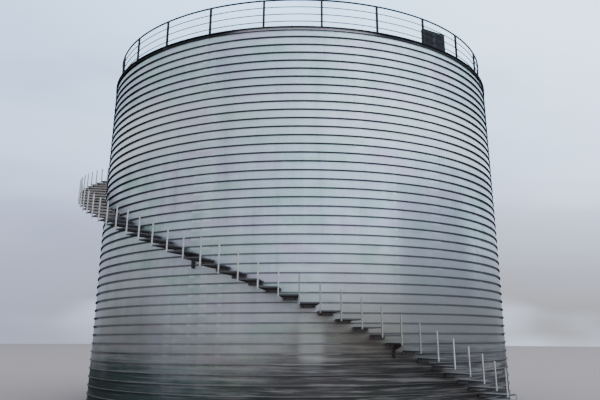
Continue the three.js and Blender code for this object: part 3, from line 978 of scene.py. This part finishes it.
def splice_bolts():
    """Two rows of four bolts on each splice plate, 60 mm apart."""
    heads = []
    for shift in (-0.8, -0.3, 0.3, 0.8):
        for height in (EAVES_MIDDLE - 0.030, EAVES_MIDDLE + 0.030):
            heads.append(set_round(bolt(0.012, 1), SPLICE_AZIMUTHS + shift, SPLICE_FACE, height))
    return together(*heads)


def edge_trim():
    """A folded trim round the roof's edge: it covers the lip's end and hangs 40 mm in front of it."""
    top = ROOF_EDGE + 0.002
    near = EAVES_RADIUS + 0.0005
    far = near + TRIM_THICKNESS
    back = EAVES_RADIUS - TRIM_COVER
    return ring([
        (back, top), (near, top), (near, top - TRIM_DROP), (far, top - TRIM_DROP),
        (far, top + TRIM_THICKNESS), (back, top + TRIM_THICKNESS),
    ])


piece("eaves_channel", eaves_channel(), CHANNEL_ZINC, nodes_named("eaves_channel"))
piece("eaves_splices", splice_plates(), CHANNEL_ZINC)
# Painted shade: the trim's near-black paint also stands in for the shade under the roof's edge
piece("eaves_trim", edge_trim(), EDGE_PAINT)
piece("eaves_bolts", splice_bolts(), BOLT_ZINC)


# Roof

def roof_sheets():
    """The cone and its level lip turned about the axis."""
    radii = np.array([ROOF_HOLE, 3.0, 6.0, 9.0, EAVES_RADIUS - ROOF_LIP, EAVES_RADIUS])
    upper = np.stack([radii, roof_top(radii)], -1)
    return ring(np.concatenate([upper, (upper - (0, ROOF_SHEET))[::-1]]))


def roof_seams():
    """Standing seams along the slope: a narrow upright with a folded, rounded head.

    The section is an outline across the seam, carried from the inner to the outer end with its foot on
    the cone and its ends sloped down.
    """
    web = 0.004
    head = ROOF_SEAM_WIDTH / 2
    tall = ROOF_SEAM_HEIGHT
    right = np.array([
        (head, -0.004), (head, 0.004), (web, 0.008), (web, tall * 0.62), (head * 0.8, tall * 0.66),
        (head * 0.9, tall * 0.86), (head * 0.5, tall),
    ])
    across, up = np.concatenate([right, right[::-1] * (-1, 1)]).T
    inner, outer, end = ROOF_SEAM_INNER, ROOF_SEAM_OUTER, 0.05
    reach = np.array([inner, inner + end, 4.0, 7.0, outer - end, outer])
    rise = np.array([0.35, 1.0, 1.0, 1.0, 1.0, 0.35])
    height = roof_top(reach)[:, None] + up * rise[:, None]
    local = np.stack(np.broadcast_arrays(across, reach[:, None], height), -1)
    azimuth = (np.arange(ROOF_SEAM_COUNT) + 0.5) * 360 / ROOF_SEAM_COUNT
    return set_round(local, azimuth, 0.0, 0.0)


def roof_cap():
    """A shallow cone over the roof's hole, with its rim turned down."""
    radii = np.array([0.02, 0.3, CAP_RADIUS - 0.01, CAP_RADIUS])
    lift = np.array([1, 1, 1, 0.6]) * CAP_THICKNESS
    lower = np.stack([radii, roof_top(radii) + TOUCH_GAP], -1)
    upper = np.stack([radii, lower[:, 1] + lift], -1)
    return ring(np.concatenate([upper, lower[::-1]]), 96)


def cap_centre():
    """The closed middle of the cap: a low round boss."""
    reach = np.array([0.030, 0.060, 0.060, 0.045, 0.012])
    lift = np.array([0.004, 0.004, 0.022, 0.030, 0.032])
    turn = np.linspace(0, 360, 32, endpoint=False)
    return loft(polar(turn[None, :], reach[:, None], roof_top(0.0) - 0.004 + lift[:, None]))


def roof_screws():
    """Screws round the cap's rim and along the roof's edge."""
    rim = np.arange(CAP_SCREWS) * 360 / CAP_SCREWS
    rim_radius = CAP_RADIUS - 0.04
    rim_height = roof_top(rim_radius) + CAP_THICKNESS
    edge = (np.arange(EDGE_SCREWS) + 0.5) * 360 / EDGE_SCREWS
    edge_radius = EAVES_RADIUS - 0.022
    rim_screws = set_round(bolt(0.010, 2), rim, rim_radius, rim_height)
    edge_screws = set_round(bolt(0.009, 2), edge, edge_radius, ROOF_EDGE + 0.005)
    return together(rim_screws, edge_screws)


roof_nodes = [f"roof_{number}" for number in range(1, 7)]
piece("roof_sheets", roof_sheets(), ROOF_ZINC, roof_nodes, 20)
piece("roof_seams", roof_seams(), ROOF_ZINC)
piece("roof_cap_plate", together(roof_cap(), cap_centre()), ROOF_ZINC, ["roof_cap"])
piece("roof_screws", roof_screws(), BOLT_ZINC)


# Guard rail

def tube_post(size, bottom, top):
    """A square tube standing along up, with a low domed cap."""
    widths = np.array([1, 1, 1.06, 1.06, 0.9])[:, None, None]
    cap = top - 0.006
    return outline_along(rounded_square(size, size * 0.14) * widths, (bottom, cap, cap, top - 0.002, top), 2)


def railing_posts():
    """A tube post on a base plate in each place, the plate lying on the roof's slope."""
    foot = float(roof_top(RAILING_RADIUS))
    post = tube_post(RAILING_POST, foot - 0.004, TOP_RAIL_LEVEL)
    posts = set_round(post, RAILING_AZIMUTHS, RAILING_RADIUS, 0.0)
    plate = box(BASE_PLATE, BASE_PLATE, BASE_THICKNESS, (0, 0, 0.0005 + BASE_THICKNESS / 2))
    plate[..., 2] += roof_top(RAILING_RADIUS + plate[..., 1])
    return together(posts, set_round(plate, RAILING_AZIMUTHS, RAILING_RADIUS, 0.0))


def rail(size, height, columns):
    """A round tube bent round the roof: a circle of (radius, height) carried along the rail's azimuths."""
    azimuth = np.linspace(RAILING_AZIMUTHS[0], RAILING_AZIMUTHS[-1], columns)[:, None]
    return loft(polar(azimuth, *circle(size / 2, 10, (RAILING_RADIUS, height)).T))


def railing_clamps():
    """A short sleeve round each thin rail at each post."""
    sleeve = outline_along(circle(MID_RAIL / 2 + 0.004, 12), (-0.034, 0.034), 0)
    return together(*[set_round(sleeve, RAILING_AZIMUTHS, RAILING_RADIUS, level)
                      for level in MID_RAIL_LEVELS])


def railing_bolts():
    """Four bolts on each base plate."""
    shapes = []
    for across in (-BASE_BOLT_ASIDE, BASE_BOLT_ASIDE):
        for out in (-BASE_BOLT_ASIDE, BASE_BOLT_ASIDE):
            head = bolt(0.010, 2) + (across, out, 0)
            lift = roof_top(RAILING_RADIUS + out) + 0.0005 + BASE_THICKNESS
            shapes.append(set_round(head, RAILING_AZIMUTHS, RAILING_RADIUS, lift))
    return together(*shapes)


mid_rails = [rail(MID_RAIL, level, 145) for level in MID_RAIL_LEVELS]
piece("railing_posts", railing_posts(), RAIL_PAINT, nodes_named("railing_"))
piece("railing_top_rail", rail(TOP_RAIL, TOP_RAIL_LEVEL, 193), RAIL_PAINT)
piece("railing_mid_rails", together(*mid_rails), RAIL_PAINT)
piece("railing_clamps", railing_clamps(), RAIL_PAINT)
piece("railing_bolts", railing_bolts(), BOLT_ZINC)


# Stair

def pan(low, high, top, stretches):
    """A pressed pan, open below, over a stretch of the stair's ring.

    Its outline follows the ring between two radii and two azimuths. Four outlines make it: the inside of
    the plate, the skirt's inner edge, the skirt's outer edge and the plate's top, with inset (radius and
    azimuth drawn in by the plate's thickness) for the first two.
    """
    share = np.linspace(0, 1, stretches + 1)
    across = np.concatenate([share, share[::-1]])
    out = np.concatenate([np.zeros(stretches + 1), np.ones(stretches + 1)])
    inset = np.array([TREAD_PLATE, TREAD_PLATE, 0.0, 0.0])[:, None]
    lift = np.array([-TREAD_PLATE, -TREAD_DEPTH, -TREAD_DEPTH, 0.0])[:, None]
    radius = TREAD_INNER + inset + out * (TREAD_OUTER - TREAD_INNER - 2 * inset)
    turn_inset = np.degrees(inset / radius)
    low = np.asarray(low)[..., None, None]
    high = np.asarray(high)[..., None, None]
    azimuth = low + turn_inset + across * (high - low - 2 * turn_inset)
    height = np.asarray(top)[..., None, None] + lift
    return loft(polar(azimuth, radius, height))


def aprons():
    """A plate under each pan's inner edge, bent to the stair's ring, with a lip folded out at its foot."""
    share = np.linspace(0, 1, 4)[:, None]
    azimuth = STEP_AZIMUTHS[:, None, None] + APRON_MARGIN + share * (STEP_ANGLE - 2 * APRON_MARGIN)
    near = TREAD_INNER - APRON_THICKNESS
    profile = np.array([
        (near, -APRON_DEPTH), (TREAD_INNER, -APRON_DEPTH), (TREAD_INNER, 0.008 - APRON_DEPTH),
        (near + 0.008, 0.012 - APRON_DEPTH), (near + 0.008, -TREAD_PLATE), (near, -TREAD_PLATE),
    ])
    radius, height = profile.T
    return loft(polar(azimuth, radius, STEP_TOPS[:, None, None] + height))


def stair_treads():
    """One pan for each step, and a long pan for the landing."""
    treads = pan(STEP_AZIMUTHS, STEP_AZIMUTHS + STEP_ANGLE, STEP_TOPS, 3)
    landing = pan(LANDING_END, STEP_AZIMUTHS[-1], ROOF_EDGE, 9)
    return together(treads, landing)


def angle_arm(depth, end_depth, reach):
    """An angle section along the radius: a leg hanging from a flange that carries the tread.

    The leg is cut to a taper, from its depth at the wall to its end depth.
    """
    thin = ARM_THICKNESS
    flange = [(0, 0), (ARM_WIDTH, 0), (ARM_WIDTH, -thin), (thin, -thin)]
    ends = [[*flange, (thin, -deep), (0, -deep)] for deep in (depth, end_depth)]
    return outline_along(ends, (0.0, reach), 1)


def stair_arms():
    """Two lugs with wall plates hold each tread's apron off the wall, and angle arms carry the landing."""
    shapes = []
    reach = TREAD_INNER - APRON_THICKNESS / 2 - WALL_RADIUS
    lug = box(0.060, reach, 0.050, (0, reach / 2, -LUG_DROP))
    plate = box(0.100, WALL_PLATE, 0.080, (0, WALL_PLATE_FACE - WALL_PLATE / 2, -LUG_DROP))
    for share in LUG_PLACES:
        azimuth = STEP_AZIMUTHS + share * STEP_ANGLE
        for part in (lug, plate):
            shapes.append(set_round(part, azimuth, WALL_RADIUS, STEP_TOPS))
    end = POST_RADIUS - POST_SIZE / 2 - 0.01
    arm = angle_arm(LANDING_ARM_DEPTH, ARM_END_DEPTH, end - EAVES_RADIUS)
    azimuth = np.arange(STEP_AZIMUTHS[-1] - STEP_ANGLE / 4, LANDING_END, -STEP_ANGLE / 2)
    shapes.append(set_round(arm, azimuth, EAVES_RADIUS + TOUCH_GAP, ROOF_EDGE - TREAD_DEPTH))
    return together(*shapes)


def knees():
    """A bracket under every twelfth tread: a stem on the wall that widens to a shoulder under the tread.

    It is a plate in a radial plane, with a narrow flange along its outer edge and a foot plate on the wall.
    """
    steps = STEPS[STEPS % KNEE_EVERY == KNEE_FIRST]
    azimuth = STAIR_FOOT - (steps - 0.5) * STEP_ANGLE
    height = steps * STEP_RISE - TREAD_DEPTH
    edge = np.array([(KNEE_STEM, -KNEE_DEPTH), (KNEE_STEM, -KNEE_SHOULDER), (KNEE_REACH, -KNEE_TIP)])
    outline = np.array([(0, -KNEE_DEPTH), *edge, (KNEE_REACH, 0), (0, 0)])
    half = KNEE_THICKNESS / 2
    plate = outline_along(outline, (-half, half), 0)
    strip = np.concatenate([edge, edge[::-1] + (0.008, -0.004)])
    flange = outline_along(strip, (-0.035, 0.035), 0)
    foot = box(0.14, 0.012, 0.26, (0, 0.006, 0.13 - KNEE_DEPTH))
    return together(*[set_round(part, azimuth, WALL_RADIUS, height) for part in (plate, flange, foot)])


def stair_posts():
    """A square tube post at each tread's upper end, and three round the landing.

    The lowest posts only reach the next tread.
    """
    post = tube_post(POST_SIZE, -POST_FOOT, POST_HEIGHT)
    short = tube_post(POST_SIZE, -POST_FOOT, STEP_RISE - 0.010)
    short_posts = set_round(short, STEP_AZIMUTHS[:SHORT_POSTS], POST_RADIUS, STEP_TOPS[:SHORT_POSTS])
    step_posts = set_round(post, STEP_AZIMUTHS[SHORT_POSTS:], POST_RADIUS, STEP_TOPS[SHORT_POSTS:])
    landing = STAIR_FOOT - np.array([STEP_COUNT, STEP_COUNT + 1]) * STEP_ANGLE
    landing_posts = set_round(post, [*landing, LANDING_END], POST_RADIUS, ROOF_EDGE)
    return together(short_posts, step_posts, landing_posts)


def stair_bolts():
    """Two bolts through each post's foot, and two in each wall plate."""
    shapes = []
    face = POST_RADIUS + POST_SIZE / 2
    for lift in (-0.062, -0.012):
        shapes.append(set_round(bolt(0.010, 1), STEP_AZIMUTHS, face, STEP_TOPS + lift))
    for share in LUG_PLACES:
        azimuth = STEP_AZIMUTHS + share * STEP_ANGLE
        for across in (-0.040, 0.040):
            head = bolt(0.008, 1) + (across, 0, 0)
            shapes.append(set_round(head, azimuth, WALL_RADIUS + WALL_PLATE_FACE, STEP_TOPS - LUG_DROP))
    return together(*shapes)


def map_ring(thing, radius):
    """A map in metres for pieces on the stair's ring: arc length at a radius, and distance from the axis."""
    mesh = thing.data
    points = np.empty(len(mesh.vertices) * 3, np.float32)
    mesh.vertices.foreach_get("co", points)
    points = points.reshape(-1, 3)
    corner = np.empty(len(mesh.loops), np.int32)
    mesh.loops.foreach_get("vertex_index", corner)
    arc = np.arctan2(points[:, 0], -points[:, 1]) * radius
    reach = np.hypot(points[:, 0], points[:, 1])
    layer = mesh.uv_layers.new(name="ring")
    layer.data.foreach_set("uv", np.stack([arc, reach], -1)[corner].ravel())


stair_nodes = nodes_named("stair_")
treads = piece("stair_treads", stair_treads(), TREAD_STEEL, stair_nodes)
map_ring(treads, (TREAD_INNER + TREAD_OUTER) / 2)
bevel(treads, 0.002)
# The aprons carry painted shade under the treads at the front and painted light between the treads on the far
# flights
bevel(piece("stair_aprons", aprons(), APRON_PAINT_AND_LIGHT), 0.0015)
bevel(piece("stair_arms", stair_arms(), ARM_PAINT), 0.0015)
bevel(piece("stair_knees", knees(), ARM_PAINT), 0.0015)
piece("stair_posts", stair_posts(), POST_ZINC)
piece("stair_bolts", stair_bolts(), BOLT_ZINC)


# Cabinet

def on_cabinet(parts):
    """Parts given from the middle of the cabinet's underside, set in its place on the roof."""
    aside = (CABINET_ASIDE, 0, 0)
    return together(*[set_round(part + aside, CABINET_AZIMUTH, CABINET_RADIUS, CABINET_BOTTOM)
                      for part in parts])


def cabinet_housing():
    """A sheet housing with a drip roof, a plinth frame and two raised doors on the side towards the roof."""
    wide = CABINET_WIDTH - CABINET_SHEET_INSET
    deep = CABINET_DEPTH - CABINET_SHEET_INSET
    tall = CABINET_HEIGHT - CABINET_LID
    body = box(wide, deep, tall, (0, 0, tall / 2))
    lid = box(CABINET_WIDTH, CABINET_DEPTH, CABINET_LID, (0, 0, tall + CABINET_LID / 2))
    plinth = box(CABINET_WIDTH, CABINET_DEPTH, CABINET_PLINTH, (0, 0, CABINET_PLINTH / 2))
    parts = [body, lid, plinth]
    for side in (-1, 1):
        middle = (side * wide / 4, -deep / 2 - 0.006, CABINET_HEIGHT / 2 + 0.01)
        parts.append(box(wide / 2 - DOOR_GAP, DOOR_THICKNESS, CABINET_HEIGHT - DOOR_FRAME, middle))
    return on_cabinet(parts)


def cabinet_louvres():
    """Slanted slats in two bays of the outer face: one thin leaning outline repeated up the face."""
    margin = 0.12
    levels = np.linspace(margin, CABINET_HEIGHT - margin, 16)
    slat = np.array([(0.0, 0.022), (0.014, 0.002), (0.014, -0.001), (0.0, 0.018)])
    half = 0.27
    face = (CABINET_DEPTH - CABINET_SHEET_INSET) / 2 - 0.0005
    bay = CABINET_WIDTH / 4
    return on_cabinet([outline_along(slat + (face, level), (middle - half, middle + half), 0)
                       for level in levels for middle in (-bay, bay)])


def cabinet_legs():
    """Four angle legs down to the roof's slope, each on a small foot plate."""
    parts = []
    section = np.array([(-0.5, -0.5), (0.5, -0.5), (0.5, -0.38), (-0.38, -0.38), (-0.38, 0.5), (-0.5, 0.5)])
    aside = (CABINET_WIDTH - CABINET_LEG) / 2
    away = (CABINET_DEPTH - CABINET_LEG) / 2
    for across in (-1, 1):
        for out in (-1, 1):
            leg = section * CABINET_LEG * (-across, -out) + (across * aside, out * away)
            distance = math.hypot(CABINET_RADIUS + out * away, CABINET_ASIDE + across * aside)
            foot = float(roof_top(distance)) - CABINET_BOTTOM
            parts.append(outline_along(leg, (foot + 0.004, 0.03), 2))
            parts.append(box(0.09, 0.09, 0.008, (across * aside, out * away, foot + 0.006)))
    return on_cabinet(parts)


def cabinet_fittings():
    """Hinges and a handle on each door."""
    door_face = -CABINET_DEPTH / 2 + 0.001
    hinge = CABINET_WIDTH / 2 - 0.04
    half_pin = 0.035
    parts = []
    for side in (-1, 1):
        for level in (0.16, CABINET_HEIGHT - 0.16):
            pin = circle(0.008, 12, (side * hinge, door_face))
            parts.append(outline_along(pin, (level - half_pin, level + half_pin), 2))
        parts.append(box(0.018, 0.012, 0.14, (side * 0.06, door_face - 0.004, CABINET_HEIGHT / 2)))
    return on_cabinet(parts)


bevel(piece("cabinet_housing", cabinet_housing(), CABINET_PAINT, ["roof_cabinet"]), 0.003)
piece("cabinet_louvres", cabinet_louvres(), CABINET_PAINT)
piece("cabinet_legs", cabinet_legs(), EDGE_PAINT)
piece("cabinet_fittings", cabinet_fittings(), BOLT_ZINC)


# Floor, sky, light and camera

def floor():
    """A wide round floor, just under the silo."""
    mesh = mesh_from("studio_floor", loft(outline_along(circle(FLOOR_RADIUS, 96), FLOOR_LEVELS, 2)))
    mesh.materials.append(pale_floor())
    in_scene("studio_floor", mesh)


def sky():
    """An overcast sky by direction (x, y, z), with y towards the back and z up.

    Behind the silo it goes by height, from a mauve grey at the horizon to a pale blue. In front it is a
    whiter grey, brightest to the right, that the wall's zinc mirrors. The view transform pales bright
    colours, so the upper stops are deeper than they look.
    """
    world = bpy.data.worlds.new("studio_sky")
    bpy.context.scene.world = world
    world.use_nodes = True
    tree = world.node_tree
    tree.nodes.clear()
    direction = node(tree, "TexCoord").outputs["Generated"]
    parts = node(tree, "SeparateXYZ", [direction])
    right, behind, up = (parts.outputs[axis] for axis in "XYZ")
    back = node(tree, "ValToRGB", [up], [
        (0.02, "#606062"), (0.09, "#6b6c73"), (0.16, "#7a7f90"), (0.25, "#8f9fb9"), (0.50, "#a6c6e6"),
    ])
    # Soft banks of cloud, 3 to 8 degrees high and wider than that; the sky is a little brighter to the right
    banks = patterns(tree, direction, {"banks": ((2.0, 2.0, 7.0), 3.0, 0.5)})["banks"]
    upper_right = node(tree, "Math", [right, up], operation="MULTIPLY")
    back = coats(tree, back, [
        (banks, 0.50, 0.70, 0.40, "#646876"),
        (banks, 0.50, 0.32, 0.40, "#b4c6de"),
        (upper_right, 0.0, 0.18, 0.45, "#c6d8ee"),
        (right, -0.05, -0.45, 0.36, "#64718f"),
    ])
    bright_side = node(tree, "VectorMath", [direction, (0.74, -0.62, 0.25)], operation="DOT_PRODUCT")
    gleam = node(tree, "VectorMath", [direction, (0.85, -0.33, 0.41)], operation="DOT_PRODUCT")
    front = coats(tree, "#71777c", [
        (up, 0.22, 0.34, 0.32, "#98a6b4"),
        (bright_side, -0.1, 1.0, 1.0, "#a5b5c6"),
        (gleam, 0.93, 0.99, 0.6, "#c9d6e2"),
        (up, 0.16, -0.04, 0.75, "#56514a"),
    ])
    ahead = node(tree, "MapRange", [behind, 0.84, 0.50], interpolation_type="SMOOTHSTEP")
    tone = node(tree, "Mix", {0: ahead, 6: back, 7: front}, data_type="RGBA")
    background = node(tree, "Background", [tone, SKY_STRENGTH])
    node(tree, "OutputWorld", {"Surface": background})


def key_light():
    """A large square area light, turned to face the silo's middle."""
    data = bpy.data.lights.new("key", "AREA")
    data.size = KEY_SIZE
    data.energy = KEY_POWER
    turn = (Vector(KEY_AIM) - Vector(KEY_PLACE)).to_track_quat("-Z", "Y")
    in_scene("key", data).matrix_world = Matrix.Translation(KEY_PLACE) @ turn.to_matrix().to_4x4()


def camera():
    """The photograph's view: yaw, then pitch up, then roll, with the fitted focal length and centre."""
    data = bpy.data.cameras.new("camera")
    data.sensor_width = SENSOR
    data.lens = FOCAL_PIXELS / IMAGE_WIDTH * SENSOR
    data.shift_x = (IMAGE_WIDTH / 2 - PRINCIPAL[0]) / IMAGE_WIDTH
    data.shift_y = (PRINCIPAL[1] - IMAGE_HEIGHT / 2) / IMAGE_WIDTH
    data.clip_end = 1000
    viewer = in_scene("camera", data)
    turn = Matrix.Rotation(CAMERA_YAW, 4, "Z") @ Matrix.Rotation(math.pi / 2 + CAMERA_PITCH, 4, "X")
    viewer.matrix_world = Matrix.Translation(CAMERA_PLACE) @ turn @ Matrix.Rotation(CAMERA_ROLL, 4, "Z")
    bpy.context.scene.camera = viewer


floor()
sky()
key_light()
camera()
